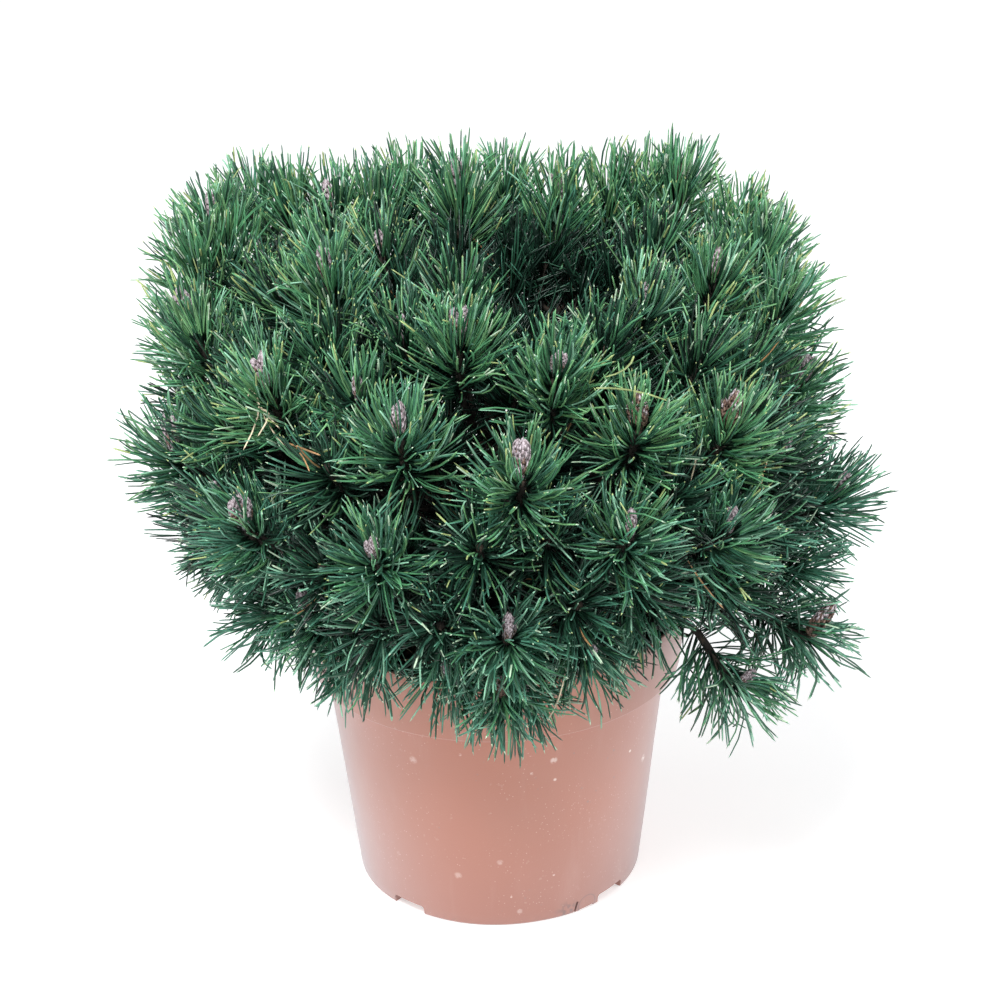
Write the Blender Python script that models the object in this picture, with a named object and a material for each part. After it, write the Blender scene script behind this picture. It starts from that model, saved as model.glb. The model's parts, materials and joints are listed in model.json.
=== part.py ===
"""A mugo pine in its plastic nursery pot, in metres, with +Z up.

The origin is the middle of the pot's flat underside. The front of the plant faces -Y, and a bearing
is measured from the front, in degrees, growing towards +X.

The pine stands on the root ball as one short trunk. Boughs leave the trunk, and each forks at its tip
into one or two masses of foliage. A mass is one stem with the shoots that branch from it, and a shoot
is a slim core, ending in a bud, that long needles stand out of.
"""

import math
import random

import bmesh
import bpy
import numpy as np
from mathutils import Vector

GAP = 0.0003  # left between two solids that touch
SEED = 27

# Pot: a thin turned shell with a stepped collar, on a heel ring with four notches
POT_SIDES = 48
POT_HEIGHT = 0.204
RIM_RADIUS = 0.130
RIM_ROUND = 0.0010
COLLAR_RADIUS = 0.1255
COLLAR_BOTTOM = 0.1587
COLLAR_STEP_HEIGHT = 0.0015
WALL_TOP_RADIUS = 0.1165
FOOT_RADIUS = 0.098
WALL = 0.0024
FLOOR_UNDERSIDE = 0.0080
FLOOR_TOP = 0.0105
PAD_RADIUS = 0.034
HEEL_WIDTH = 0.010
CHAMFER = 0.0012
NOTCH_COUNT = 4
NOTCH_BEARING = 50.0
NOTCH_WIDTH = 0.026
NOTCH_HEIGHT = 0.0065

# Root ball: bark compost that fills the pot to a little below its rim
SOIL_LEVEL = 0.190
SOIL_EDGE_DROP = 0.004
SOIL_FLAT_RADIUS = 0.040

# Trunk: short, leaning a little, with a root flare above a flat cut at soil level
TRUNK_FOOT = SOIL_LEVEL + GAP
TRUNK_TOP = 0.330
TRUNK_FOOT_RADIUS = 0.0150
TRUNK_TOP_RADIUS = 0.0070
TRUNK_FLARE = 0.0070
TRUNK_FLARE_HEIGHT = 0.012
TRUNK_LEAN = (0.004, 0.006)
TRUNK_RINGS = (0.0, 0.04, 0.10, 0.20, 0.45, 1.0)  # shares of its height
TRUNK_SIDES = 15
ROOT_LOBES = 5
ROOT_LOBE_DEPTH = 0.30

# Boughs: single tapering limbs from the trunk to the foot of their foliage
BOUGH_RADIUS = 0.0046
BOUGH_TIP_RADIUS = 0.0040
BOUGH_SIDES = 6
BOUGH_STEPS = 2
LOWEST_BOUGH = 0.2130
BOUGH_SPACING = 0.0063
BOUGH_UPTURN = 0.25  # how much more steeply than straight for its foliage a bough ends
FORK_SHARE = 0.47  # how far out along its way to the foliage a bough ends
TIP_LENGTH = 0.004  # straight stretch on both sides of the fork

# Crown: the middle of each mass's leading bud, as bearing in degrees, height and reach from the axis.
# The boughs are listed from the lowest to the highest, as they leave the trunk on alternate sides.
CROWN = {
    "rim_right": {"front": (52, 0.205, 0.207), "back": (67, 0.223, 0.229)},
    "rim_front": {"right": (1, 0.232, 0.182), "left": (-42, 0.262, 0.180)},
    "back_low": {"left": (-165, 0.280, 0.200), "right": (152, 0.280, 0.200)},
    "left_low": {"front": (-78, 0.270, 0.183), "back": (-118, 0.290, 0.205)},
    "right_low": {"front": (81, 0.298, 0.231), "back": (113, 0.290, 0.208)},
    "front_low": {"right": (23, 0.352, 0.213), "left": (2, 0.288, 0.208)},
    "left": {"upper": (-92, 0.415, 0.197), "lower": (-74, 0.353, 0.215)},
    "front_right": {"upper": (47, 0.395, 0.201), "lower": (43, 0.334, 0.215)},
    "back_left": {"upper": (-111, 0.457, 0.193), "lower": (-138, 0.385, 0.207)},
    "front_left": {"upper": (-17, 0.412, 0.190), "lower": (-20, 0.342, 0.214)},
    "back_right": {"upper": (106, 0.436, 0.191), "lower": (125, 0.380, 0.208)},
    "left_front": {"upper": (-48, 0.420, 0.184), "lower": (-47, 0.338, 0.214)},
    "right": {"upper": (79, 0.449, 0.147), "lower": (82, 0.374, 0.200)},
    "back": {"upper": (-168, 0.467, 0.094), "lower": (178, 0.390, 0.205)},
    "right_high": {"left": (14, 0.440, 0.161), "right": (28, 0.410, 0.190)},
    "left_high": {"front": (-62, 0.462, 0.115), "back": (-134, 0.452, 0.146)},
    "back_high": {"inner": (154, 0.457, 0.111), "outer": (128, 0.464, 0.165)},
    "front": {"upper": (-8, 0.455, 0.137), "lower": (5, 0.394, 0.201)},
}
CENTRE_BUD = (0, 0.412, 0.010)

# Dome that the buds lie on: a rounded box of revolution, hollow in the middle of its top
DOME_RADIUS = 0.212
DOME_MIDDLE = 0.315
DOME_ABOVE = 0.152
DOME_BELOW = 0.110
DOME_POWER = 2.6
DOME_HOLLOW = 0.072
DOME_CANDIDATES = 900
BUD_SPACING = 0.065
LOW_LIFT = -25.0  # slope of a shoot at the crown's foot and at its top, in degrees
TOP_LIFT = 80.0
LIFT_POWER = 0.5
LOW_HEIGHT = 0.215
TOP_HEIGHT = 0.465

# Shoots and needles
STEM_RADIUS = 0.0020
STEM_APART = 0.0026
TWIG_RADIUS = 0.0017
SHOOT_SIDES = 4
SHOOT_LENGTH = 0.062
BUD_MIDDLE = 0.009  # back from the tip of the bud
SHOOT_PROFILE = ((0.0, 0.0024), (0.70, 0.0036), (0.84, 0.0042), (1.0, 0.0))
STEM_STEPS = 2
NEEDLES = 9
NEEDLES_TRIED = 14
NEEDLE_SIDES = 3
NEEDLE_LENGTH = 0.049
NEEDLE_ROOT_RADIUS = 0.0022
NEEDLE_FIRST = 0.16  # where the needles start and end along a shoot
NEEDLE_LAST = 0.72
NEEDLE_FIRST_TILT = 74.0
NEEDLE_LAST_TILT = 24.0
NEEDLE_TURN = 137.5
NEEDLE_JITTER = 7.0
PATH_SAMPLES = 4
NEEDLE_SAMPLES = 7
MASS_APART = 0.0030
LIMB_APART = 0.0010

UP = Vector((0.0, 0.0, 1.0))


def clear_scene():
    for item in list(bpy.data.objects):
        bpy.data.objects.remove(item)


def material(name, colour, roughness):
    made = bpy.data.materials.new(name)
    made.use_nodes = True
    shader = made.node_tree.nodes["Principled BSDF"]
    shader.inputs["Base Color"].default_value = (*colour, 1.0)
    shader.inputs["Roughness"].default_value = roughness
    shader.inputs["Metallic"].default_value = 0.0
    return made


def finish(name, bm, surface):
    """Turn a bmesh into an object with outward faces and one material."""
    bmesh.ops.recalc_face_normals(bm, faces=bm.faces)
    mesh = bpy.data.meshes.new(name)
    bm.to_mesh(mesh)
    bm.free()
    mesh.materials.append(surface)
    made = bpy.data.objects.new(name, mesh)
    bpy.context.scene.collection.objects.link(made)
    return made


def turned(name, profile, sides, surface):
    """A solid of revolution round Z, from a profile that starts and ends on the axis."""
    bm = bmesh.new()
    points = [bm.verts.new((radius, 0.0, height)) for radius, height in profile]
    edges = [bm.edges.new(pair) for pair in zip(points, points[1:])]
    bmesh.ops.spin(bm, geom=points + edges, cent=(0, 0, 0), axis=UP, angle=2 * math.pi, steps=sides)
    bmesh.ops.remove_doubles(bm, verts=bm.verts, dist=1e-6)
    return finish(name, bm, surface)


def direction(bearing, slope=0.0):
    """Unit vector for a bearing and a slope above the level, both in degrees."""
    turn = math.radians(bearing)
    rise = math.radians(slope)
    return Vector((math.sin(turn) * math.cos(rise), -math.cos(turn) * math.cos(rise), math.sin(rise)))


def bent(start, leaving, end, arriving, steps):
    """Points along a cubic curve that leaves its start and reaches its end in these directions."""
    handle = (end - start).length / 3
    first = start + leaving * handle
    second = end - arriving * handle
    points = []
    for step in range(steps + 1):
        t = step / steps
        s = 1.0 - t
        points.append(start * s**3 + first * 3 * s * s * t + second * 3 * s * t * t + end * t**3)
    return points


def frames(path):
    """A side vector and an up vector square to the path at each of its points, without twist."""
    tangents = [(after - before).normalized() for before, after in zip(path, path[1:])]
    tangents.append(tangents[-1])
    side = tangents[0].orthogonal().normalized()
    result = []
    for index, tangent in enumerate(tangents):
        mean = tangent if index in (0, len(path) - 1) else (tangent + tangents[index - 1]).normalized()
        side = (side - mean * side.dot(mean)).normalized()
        result.append((side, mean.cross(side)))
    return result


def limb(path, radii, sides, lobes=None):
    """A closed tube along a path. A last radius of nothing gives a point."""
    bm = bmesh.new()
    rings = []
    for index, (point, radius, (side, up)) in enumerate(zip(path, radii, frames(path))):
        if radius == 0.0:
            rings.append([bm.verts.new(point)])
            continue
        ring = []
        for step in range(sides):
            angle = 2 * math.pi * step / sides
            wide = radius * (lobes(index, angle) if lobes else 1.0)
            ring.append(bm.verts.new(point + (side * math.cos(angle) + up * math.sin(angle)) * wide))
        rings.append(ring)
    bm.faces.new(reversed(rings[0]))
    for lower, upper in zip(rings, rings[1:]):
        for step in range(sides):
            after = (step + 1) % sides
            if len(upper) == 1:
                bm.faces.new((lower[step], lower[after], upper[0]))
            else:
                bm.faces.new((lower[step], lower[after], upper[after], upper[step]))
    if len(rings[-1]) > 1:
        bm.faces.new(rings[-1])
    return bm


def pot(surface):
    inner_foot = FOOT_RADIUS - WALL
    heel_inside = FOOT_RADIUS - HEEL_WIDTH
    profile = [
        (0.0, 0.0),
        (PAD_RADIUS, 0.0),
        (PAD_RADIUS + CHAMFER, FLOOR_UNDERSIDE),
        (heel_inside - CHAMFER, FLOOR_UNDERSIDE),
        (heel_inside, 0.0),
        (FOOT_RADIUS - CHAMFER, 0.0),
        (FOOT_RADIUS, CHAMFER),
        (WALL_TOP_RADIUS, COLLAR_BOTTOM + COLLAR_STEP_HEIGHT),
        (COLLAR_RADIUS, COLLAR_BOTTOM),
        (RIM_RADIUS, POT_HEIGHT - RIM_ROUND),
        (RIM_RADIUS - RIM_ROUND, POT_HEIGHT),
        (RIM_RADIUS - WALL, POT_HEIGHT),
        (COLLAR_RADIUS - WALL, COLLAR_BOTTOM + COLLAR_STEP_HEIGHT + WALL),
        (WALL_TOP_RADIUS - WALL, COLLAR_BOTTOM + COLLAR_STEP_HEIGHT),
        (inner_foot, FLOOR_TOP),
        (0.0, FLOOR_TOP),
    ]
    shell = turned("pot", profile, POT_SIDES, surface)
    for index in range(NOTCH_COUNT):
        bearing = NOTCH_BEARING + 360.0 * index / NOTCH_COUNT
        bpy.ops.mesh.primitive_cube_add(size=1.0)
        cutter = bpy.context.object
        cutter.name = f"notch_cutter_{index}"
        cutter.scale = (NOTCH_WIDTH, 3 * HEEL_WIDTH, 2 * NOTCH_HEIGHT)
        cutter.location = direction(bearing) * (FOOT_RADIUS - HEEL_WIDTH / 2)
        cutter.rotation_euler = (0.0, 0.0, math.radians(bearing))
        cutter.hide_render = True
        cutter.display_type = "WIRE"
        cut = shell.modifiers.new(f"notch_{index}", "BOOLEAN")
        cut.operation = "DIFFERENCE"
        cut.solver = "EXACT"
        cut.object = cutter


def soil(surface):
    """The root ball and its compost, a fixed gap inside the pot's inner wall."""
    ledge = COLLAR_BOTTOM + COLLAR_STEP_HEIGHT
    inset = WALL + 2 * GAP
    edge_height = SOIL_LEVEL - SOIL_EDGE_DROP
    edge_share = (edge_height - ledge - WALL) / (POT_HEIGHT - ledge - WALL)
    edge_radius = COLLAR_RADIUS + (RIM_RADIUS - COLLAR_RADIUS) * edge_share - inset
    profile = [
        (0.0, FLOOR_TOP + GAP),
        (FOOT_RADIUS - inset, FLOOR_TOP + GAP),
        (WALL_TOP_RADIUS - inset, ledge + 2 * GAP),
        (COLLAR_RADIUS - inset, ledge + inset),
        (edge_radius, edge_height),
        (SOIL_FLAT_RADIUS, SOIL_LEVEL),
        (0.0, SOIL_LEVEL),
    ]
    turned("root_ball", profile, POT_SIDES, surface)


def trunk_centre(height):
    share = (height - TRUNK_FOOT) / (TRUNK_TOP - TRUNK_FOOT)
    return Vector((TRUNK_LEAN[0] * share, TRUNK_LEAN[1] * share, height))


def trunk_profile():
    """Heights of the trunk's rings, their mean radii, and how far the root lobes stand out of them."""
    heights = TRUNK_FOOT + (TRUNK_TOP - TRUNK_FOOT) * np.array(TRUNK_RINGS)
    near_foot = np.exp((TRUNK_FOOT - heights) / TRUNK_FLARE_HEIGHT)
    taper = TRUNK_FOOT_RADIUS + (TRUNK_TOP_RADIUS - TRUNK_FOOT_RADIUS) * np.array(TRUNK_RINGS)
    return heights, taper + TRUNK_FLARE * near_foot, ROOT_LOBE_DEPTH * near_foot**2


def trunk_radius(height):
    """The trunk's widest radius at a height, lobes included."""
    heights, radii, lobes = trunk_profile()
    return float(np.interp(height, heights, radii * (1.0 + lobes)))


def trunk(surface):
    heights, radii, lobes = trunk_profile()

    def outline(index, angle):
        return 1.0 + float(lobes[index]) * math.cos(ROOT_LOBES * angle)

    path = [trunk_centre(float(height)) for height in heights]
    bm = limb(path, [float(radius) for radius in radii], TRUNK_SIDES, outline)
    for vert in bm.verts:
        if vert.co.z < (heights[0] + heights[1]) / 2:
            vert.co.z = TRUNK_FOOT
    finish("trunk", bm, surface)


def lift(height):
    """Slope of a shoot whose bud is at this height, in degrees."""
    share = (height - LOW_HEIGHT) / (TOP_HEIGHT - LOW_HEIGHT)
    return LOW_LIFT + (TOP_LIFT - LOW_LIFT) * min(max(share, 0.0), 1.0) ** LIFT_POWER


def shoot_at(bearing, height, reach):
    """A shoot's base, bud tip and direction, from the place of its bud's middle."""
    along = direction(bearing, lift(height))
    bud = direction(bearing) * reach + UP * height + along * BUD_MIDDLE
    return bud - along * SHOOT_LENGTH, bud, along


class Space:
    """The limbs and twigs placed so far, which say whose space a point is in."""

    def __init__(self):
        self.owners = []
        self.starts = []
        self.ends = []
        self.radii = []

    def add(self, owner, path, radii):
        for start, end, first, last in zip(path, path[1:], radii, radii[1:]):
            self.owners.append(owner)
            self.starts.append(start[:])
            self.ends.append(end[:])
            self.radii.append(max(first, last))

    def clearances(self, points, owners):
        """How far each point is from the nearest surface of these owners' limbs and twigs."""
        picked = [index for index, owner in enumerate(self.owners) if owner in owners]
        if not picked:
            return np.full(len(points), 1.0)
        start = np.array(self.starts)[picked]
        along = np.array(self.ends)[picked] - start
        offset = np.array([point[:] for point in points])[:, None] - start[None]
        share = np.clip((offset * along).sum(2) / (along**2).sum(1), 0.0, 1.0)
        nearest = np.linalg.norm(offset - share[..., None] * along[None], axis=2)
        return (nearest - np.array(self.radii)[picked]).min(1)


def clear_of_pot(points, apart):
    for point in points:
        if point.z < POT_HEIGHT + apart and math.hypot(point.x, point.y) < RIM_RADIUS + apart:
            return False
    return True


def bough_path(start_height, leaders):
    """From the trunk's surface out to the fork, with the direction that it ends in."""
    bases = [shoot_at(*leader)[0] for leader in leaders]
    middle = sum(bases, Vector()) / len(bases)
    centre = trunk_centre(start_height)
    outward = Vector((middle.x - centre.x, middle.y - centre.y, 0.0)).normalized()
    start = centre + outward * (trunk_radius(start_height - BOUGH_RADIUS) + GAP)
    tip = start.lerp(middle, FORK_SHARE)
    ending = ((middle - start).normalized() + UP * BOUGH_UPTURN).normalized()
    first = start + outward * TIP_LENGTH
    last = tip - ending * TIP_LENGTH
    return [start, *bent(first, outward, last, ending, BOUGH_STEPS), tip], ending


def stem_path(tip, ending, aside, leader):
    """From just off a bough's tip to the foot of the leading shoot."""
    base, _, along = shoot_at(*leader)
    start = tip + ending * GAP + aside
    return [start, *bent(start + ending * TIP_LENGTH, ending, base, along, STEM_STEPS)]


def fork(path, ending, leaders):
    """The two leading stems that stand side by side on a bough's tip."""
    first, second = (shoot_at(*leader)[0] for leader in leaders)
    apart = first - second
    aside = (apart - ending * apart.dot(ending)).normalized() * STEM_APART
    return [stem_path(path[-1], ending, aside * side, leader) for side, leader in zip((1, -1), leaders)]


def dome_point(turn, rise):
    """The point of the dome in this direction from its middle."""
    level = math.cos(rise)
    upward = math.sin(rise)
    half = DOME_ABOVE if upward > 0 else DOME_BELOW
    size = (abs(level / DOME_RADIUS) ** DOME_POWER + abs(upward / half) ** DOME_POWER) ** (-1 / DOME_POWER)
    return math.degrees(turn), DOME_MIDDLE + upward * size, level * size


def side_buds(leaders):
    """Spread further buds over the dome, each at least the bud spacing from the others."""
    taken = [shoot_at(*leader)[1] for leader in leaders]
    buds = []
    for index in range(DOME_CANDIDATES):
        rise = math.asin(1.0 - 2.0 * (index + 0.5) / DOME_CANDIDATES)
        place = dome_point(index * math.radians(NEEDLE_TURN), rise)
        bud = shoot_at(*place)[1]
        if place[2] < DOME_HOLLOW or place[1] < LOW_HEIGHT:
            continue
        if min((bud - other).length for other in taken) < BUD_SPACING:
            continue
        taken.append(bud)
        buds.append(place)
    return buds


def needle_lines(base, along, chooser):
    """Root and tip of each needle that a shoot may have, spiralling down its core from the bud."""
    side = along.orthogonal().normalized()
    up = along.cross(side)
    first_turn = chooser.uniform(0, 360)
    for index in range(NEEDLES_TRIED):
        share = 1.0 - index / (NEEDLES_TRIED - 1)
        root = base + along * SHOOT_LENGTH * (NEEDLE_FIRST + (NEEDLE_LAST - NEEDLE_FIRST) * share)
        turn = math.radians(first_turn + index * NEEDLE_TURN + chooser.uniform(-NEEDLE_JITTER, NEEDLE_JITTER))
        tilt = NEEDLE_FIRST_TILT + (NEEDLE_LAST_TILT - NEEDLE_FIRST_TILT) * share
        tilt = math.radians(tilt + chooser.uniform(-NEEDLE_JITTER, NEEDLE_JITTER))
        outward = side * math.cos(turn) + up * math.sin(turn)
        yield root, root + (along * math.cos(tilt) + outward * math.sin(tilt)) * NEEDLE_LENGTH


def needle_fits(root, tip, mass, masses, space):
    """True where a needle stays in its own mass's space, off every limb and out of the pot."""
    points = [root.lerp(tip, (step + 1) / NEEDLE_SAMPLES) for step in range(NEEDLE_SAMPLES)]
    if not clear_of_pot(points, LIMB_APART + NEEDLE_ROOT_RADIUS):
        return False
    if space.clearances(points, {"limbs"}).min() < LIMB_APART + NEEDLE_ROOT_RADIUS:
        return False
    own = space.clearances(points, {mass})
    others = space.clearances(points, masses - {mass})
    return bool((own + MASS_APART < others).all())


def is_closed(mesh):
    """True where every edge has two faces."""
    uses = np.zeros(len(mesh.edges), dtype=int)
    corners = np.empty(len(mesh.loops), dtype=np.int32)
    mesh.loops.foreach_get("edge_index", corners)
    np.add.at(uses, corners, 1)
    return bool((uses == 2).all())


def join_mass(name, solids, surface):
    """Fuse a mass's stems, shoots and needles into one solid."""
    made = finish(name, solids[0], surface)
    pieces = bpy.data.collections.new(f"{name}_pieces")
    for index, solid in enumerate(solids[1:]):
        piece = finish(f"{name}_piece_{index}", solid, surface)
        bpy.context.scene.collection.objects.unlink(piece)
        pieces.objects.link(piece)
    join = made.modifiers.new("join", "BOOLEAN")
    join.operation = "UNION"
    join.operand_type = "COLLECTION"
    join.collection = pieces
    for solver in ("EXACT", "MANIFOLD"):
        join.solver = solver
        bpy.context.view_layer.update()
        joined = bpy.data.meshes.new_from_object(made.evaluated_get(bpy.context.evaluated_depsgraph_get()))
        if is_closed(joined):
            break
    made.modifiers.clear()
    made.data = joined
    for piece in list(pieces.objects):
        bpy.data.objects.remove(piece)
    bpy.data.collections.remove(pieces)


def grow_boughs(space, bark):
    """Make the boughs. Returns each mass's leading bud and stem by the mass's name."""
    leaders = {"foliage_centre": CENTRE_BUD}
    stems = {"foliage_centre": stem_path(trunk_centre(TRUNK_TOP), UP, Vector(), CENTRE_BUD)}
    for order, (name, carried) in enumerate(CROWN.items()):
        buds = list(carried.values())
        path, ending = bough_path(LOWEST_BOUGH + order * BOUGH_SPACING, buds)
        radii = [float(radius) for radius in np.linspace(BOUGH_RADIUS, BOUGH_TIP_RADIUS, len(path))]
        space.add("limbs", path, radii)
        finish(f"bough_{name}", limb(path, radii, BOUGH_SIDES), bark)
        for part, bud, stem in zip(carried, buds, fork(path, ending, buds)):
            leaders[f"foliage_{name}_{part}"] = bud
            stems[f"foliage_{name}_{part}"] = stem
    return leaders, stems


def shoot(stem, stem_radius, place):
    """Path and radii of a stem or twig with the shoot it carries, and the shoot's base and direction."""
    base, bud, along = shoot_at(*place)
    path = stem + [base.lerp(bud, share) for share, _ in SHOOT_PROFILE[1:]]
    radii = [stem_radius] * len(stem) + [radius for _, radius in SHOOT_PROFILE[1:]]
    return path, radii, base, along


def side_shoot(stem, place):
    """A shoot on a twig that leaves a mass's stem half way along."""
    base, _, along = shoot_at(*place)
    _, before, leaving = stem[:3]
    return shoot(bent(leaving, (leaving - before).normalized(), base, along, STEM_STEPS), TWIG_RADIUS, place)


def has_room(path, radii, mass, masses, space):
    """True where a twig and its shoot stay clear of the pot, the limbs and the other masses."""
    shares = [(step + 1) / PATH_SAMPLES for step in range(PATH_SAMPLES)]
    points = [start.lerp(end, share) for start, end in zip(path, path[1:]) for share in shares]
    apart = LIMB_APART + max(radii)
    others = (masses | {"limbs"}) - {mass}
    return clear_of_pot(points, apart) and space.clearances(points, others).min() > apart


def grow_shoots(leaders, stems, space):
    """Each mass's shoots, the leading one first, by the mass's name."""
    masses = set(stems)
    shoots = {}
    for mass, stem in stems.items():
        leading = shoot(stem, STEM_RADIUS, leaders[mass])
        space.add(mass, *leading[:2])
        shoots[mass] = [leading]
    for place in side_buds(leaders.values()):
        bud = shoot_at(*place)[1]
        mass = min(stems, key=lambda name: (shoot_at(*leaders[name])[1] - bud).length)
        further = side_shoot(stems[mass], place)
        if has_room(*further[:2], mass, masses, space):
            space.add(mass, *further[:2])
            shoots[mass].append(further)
    return shoots


def main():
    clear_scene()
    terracotta = material("terracotta_plastic", (0.56, 0.28, 0.21), 0.55)
    compost = material("bark_compost", (0.06, 0.03, 0.02), 0.95)
    bark = material("pine_bark", (0.10, 0.065, 0.045), 0.9)
    needles = material("pine_needles", (0.045, 0.13, 0.075), 0.5)

    pot(terracotta)
    soil(compost)
    trunk(bark)
    space = Space()
    heights = [float(height) for height in trunk_profile()[0]]
    centres = [trunk_centre(height) for height in heights]
    space.add("limbs", centres, [trunk_radius(height) for height in heights])
    leaders, stems = grow_boughs(space, bark)
    shoots = grow_shoots(leaders, stems, space)

    masses = set(stems)
    chooser = random.Random(SEED)
    for mass, grown in shoots.items():
        solids = []
        for path, radii, base, along in grown:
            solids.append(limb(path, radii, SHOOT_SIDES))
            tried = needle_lines(base, along, chooser)
            fitting = [line for line in tried if needle_fits(*line, mass, masses, space)]
            for line in fitting[:NEEDLES]:
                solids.append(limb(line, [NEEDLE_ROOT_RADIUS, 0.0], NEEDLE_SIDES))
        join_mass(mass, solids, needles)


main()
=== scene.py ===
import json
import math
from collections import namedtuple

import bpy
import numpy as np
from mathutils import Matrix, Vector, noise

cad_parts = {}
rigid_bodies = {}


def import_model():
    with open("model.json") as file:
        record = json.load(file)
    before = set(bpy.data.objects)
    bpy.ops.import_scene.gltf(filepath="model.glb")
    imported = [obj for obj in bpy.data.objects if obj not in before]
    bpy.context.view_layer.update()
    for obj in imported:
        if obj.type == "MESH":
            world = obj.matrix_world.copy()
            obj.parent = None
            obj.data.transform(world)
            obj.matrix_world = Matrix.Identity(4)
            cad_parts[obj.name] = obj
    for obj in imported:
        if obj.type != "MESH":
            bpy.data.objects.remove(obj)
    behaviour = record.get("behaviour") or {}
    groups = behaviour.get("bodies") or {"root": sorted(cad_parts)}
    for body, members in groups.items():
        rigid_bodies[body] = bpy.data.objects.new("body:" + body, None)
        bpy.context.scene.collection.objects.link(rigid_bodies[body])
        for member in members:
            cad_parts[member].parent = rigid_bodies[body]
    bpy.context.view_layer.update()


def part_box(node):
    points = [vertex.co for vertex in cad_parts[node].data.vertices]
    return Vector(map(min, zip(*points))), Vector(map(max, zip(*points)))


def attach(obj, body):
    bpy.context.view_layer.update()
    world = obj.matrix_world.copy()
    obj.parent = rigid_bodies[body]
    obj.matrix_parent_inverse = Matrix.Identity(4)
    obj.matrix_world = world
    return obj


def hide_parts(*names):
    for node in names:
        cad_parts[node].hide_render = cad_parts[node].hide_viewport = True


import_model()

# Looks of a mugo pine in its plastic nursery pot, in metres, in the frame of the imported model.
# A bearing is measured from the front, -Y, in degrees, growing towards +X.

UP = Vector((0.0, 0.0, 1.0))
GAP = 0.0003
GOLDEN_TURN = 137.5  # degrees from one needle pair, bud scale or candidate bud to the next
draw = np.random.default_rng(27)

# Pot
POT_SIDES = 192
POT_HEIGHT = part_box("pot")[1].z
RIM_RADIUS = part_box("pot")[1].y
COLLAR_RADIUS = 0.1255
COLLAR_BOTTOM = 0.1587
COLLAR_ROUND = 0.0008
LEDGE_RISE = 0.0015
WALL_TOP_RADIUS = 0.1165
FOOT_RADIUS = 0.098
FOOT_ROUND = 0.0012
WALL = 0.0024
FLOOR_UNDERSIDE = 0.0080
FLOOR_TOP = 0.0105
PAD_RADIUS = 0.034
HEEL_WIDTH = 0.010
WALL_RING_SPACING = 0.008
WALL_WAVE = 0.0004
NOTCH_BEARINGS = (50.0, 140.0, 230.0, 320.0)
NOTCH_SIZE = (0.026, 0.030, 0.013)
CRACK_BEARING = 30.5
CRACK_SIZE = (0.0016, 0.016, 0.018)
CRACK_LEAN = 14.0
CHIP_BEARING = 36.5
CHIP_SIZE = (0.012, 0.016, 0.0028)

# Compost
SOIL_LEVEL = 0.190
SOIL_EDGE_DROP = 0.004
SOIL_RING_SPACING = 0.003
SOIL_LUMP = 0.0016

# Trunk and boughs, as in the solids
TRUNK_FOOT = SOIL_LEVEL + GAP
TRUNK_TOP = 0.330
TRUNK_LENGTH = TRUNK_TOP - TRUNK_FOOT
TRUNK_RADII = (0.0150, 0.0070)  # at its foot and top
TRUNK_FLARE = 0.0070
TRUNK_FLARE_HEIGHT = 0.012
TRUNK_LEAN = (0.004, 0.006)
TRUNK_RINGS = np.array((0.0, 0.04, 0.10, 0.20, 0.45, 1.0))  # of the solid trunk
TRUNK_HEIGHTS = TRUNK_FOOT + TRUNK_LENGTH * TRUNK_RINGS
ROOT_LOBES = 5
ROOT_LOBE_DEPTH = 0.30
BOUGH_RADIUS = 0.0046
BOUGH_TIP_RADIUS = 0.0040
LOWEST_BOUGH = 0.2130
BOUGH_SPACING = 0.0063
BOUGH_UPTURN = 0.25
FORK_SHARE = 0.47
TIP_LENGTH = 0.004
STEM_RADIUS = 0.0020
STEM_APART = 0.0026
TWIG_RADIUS = 0.0017
TWIG_APART = 0.004  # between a twig and the pot
BARK_DEPTH = 0.0011
TRUNK_FINE_RINGS = 90
TRUNK_FINE_SIDES = 60
BOUGH_FINE_SPACING = 0.0025

# Crown, as in the solids: bearing, height and reach of the middle of each leading bud
CROWN = {
    "rim_right": {"front": (52, 0.205, 0.207), "back": (67, 0.223, 0.229)},
    "rim_front": {"right": (1, 0.232, 0.182), "left": (-42, 0.262, 0.180)},
    "back_low": {"left": (-165, 0.280, 0.200), "right": (152, 0.280, 0.200)},
    "left_low": {"front": (-78, 0.270, 0.183), "back": (-118, 0.290, 0.205)},
    "right_low": {"front": (81, 0.298, 0.231), "back": (113, 0.290, 0.208)},
    "front_low": {"right": (23, 0.352, 0.213), "left": (2, 0.288, 0.208)},
    "left": {"upper": (-92, 0.415, 0.197), "lower": (-74, 0.353, 0.215)},
    "front_right": {"upper": (47, 0.395, 0.201), "lower": (43, 0.334, 0.215)},
    "back_left": {"upper": (-111, 0.457, 0.193), "lower": (-138, 0.385, 0.207)},
    "front_left": {"upper": (-17, 0.412, 0.190), "lower": (-20, 0.342, 0.214)},
    "back_right": {"upper": (106, 0.436, 0.191), "lower": (125, 0.380, 0.208)},
    "left_front": {"upper": (-48, 0.420, 0.184), "lower": (-47, 0.338, 0.214)},
    "right": {"upper": (79, 0.449, 0.147), "lower": (82, 0.374, 0.200)},
    "back": {"upper": (-168, 0.467, 0.094), "lower": (178, 0.390, 0.205)},
    "right_high": {"left": (14, 0.440, 0.161), "right": (28, 0.410, 0.190)},
    "left_high": {"front": (-62, 0.462, 0.115), "back": (-134, 0.452, 0.146)},
    "back_high": {"inner": (154, 0.457, 0.111), "outer": (128, 0.464, 0.165)},
    "front": {"upper": (-8, 0.455, 0.137), "lower": (5, 0.394, 0.201)},
}
CENTRE_BUD = (0, 0.412, 0.010)
DOME_RADIUS = 0.212
DOME_MIDDLE = 0.315
DOME_ABOVE = 0.152
DOME_BELOW = 0.110
DOME_POWER = 2.6
DOME_HOLLOW = 0.072
DOME_CANDIDATES = 900

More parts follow.
